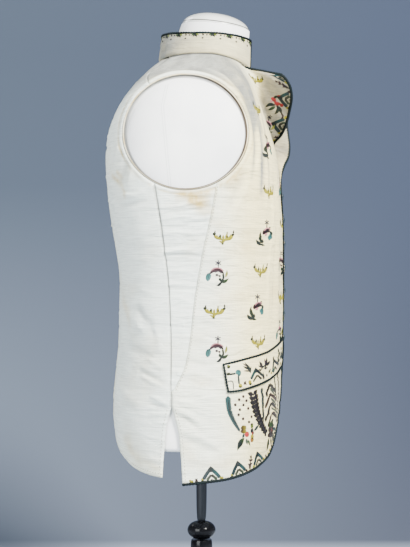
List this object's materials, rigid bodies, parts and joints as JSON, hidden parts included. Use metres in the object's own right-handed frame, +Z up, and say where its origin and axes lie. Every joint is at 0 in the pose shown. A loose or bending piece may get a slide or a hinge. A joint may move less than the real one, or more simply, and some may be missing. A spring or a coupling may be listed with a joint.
{
  "type": "embroidered waistcoat on a dress form",
  "caption": "Sleeveless cream waistcoat with embroidered fronts, stand collar and pocket flaps, worn by a limbless dress form on a turned stand.",
  "frame": {"origin": "centre of the stand's underside, where it rests on the floor", "axes": "+Z up, the garment's front faces -Y, the wearer's right side faces -X"},
  "size_m": [0.3432, 0.29, 0.9197],
  "materials": {
    "embroidered_cloth": "cream cotton and linen cloth, matt, with silk embroidery",
    "plain_cloth": "white linen, matt",
    "button_cloth": "cloth-covered, matt",
    "form_cloth": "white cotton cover, matt",
    "neck_gloss": "white, glossy",
    "steel": "satin",
    "black_lacquer": "black, glossy"
  },
  "bodies": {
    "root": {"front_right": "embroidered_cloth", "front_left": "embroidered_cloth", "collar": "embroidered_cloth", "pocket_flap_right": "embroidered_cloth", "pocket_flap_left": "embroidered_cloth", "back_right": "plain_cloth", "back_left": "plain_cloth", "gusset_right": "plain_cloth", "gusset_left": "plain_cloth", "armhole_binding_right": "plain_cloth", "armhole_binding_left": "plain_cloth", "button_1": "button_cloth", "button_2": "button_cloth", "button_3": "button_cloth", "button_4": "button_cloth", "button_5": "button_cloth", "button_6": "button_cloth", "button_7": "button_cloth", "form_body": "form_cloth", "arm_plate_right": "form_cloth", "arm_plate_left": "form_cloth", "neck_cap": "neck_gloss", "stand_pole": "steel", "stand_knob": "black_lacquer", "stand_column": "black_lacquer", "stand_base": "black_lacquer"}
  },
  "joints": []
}
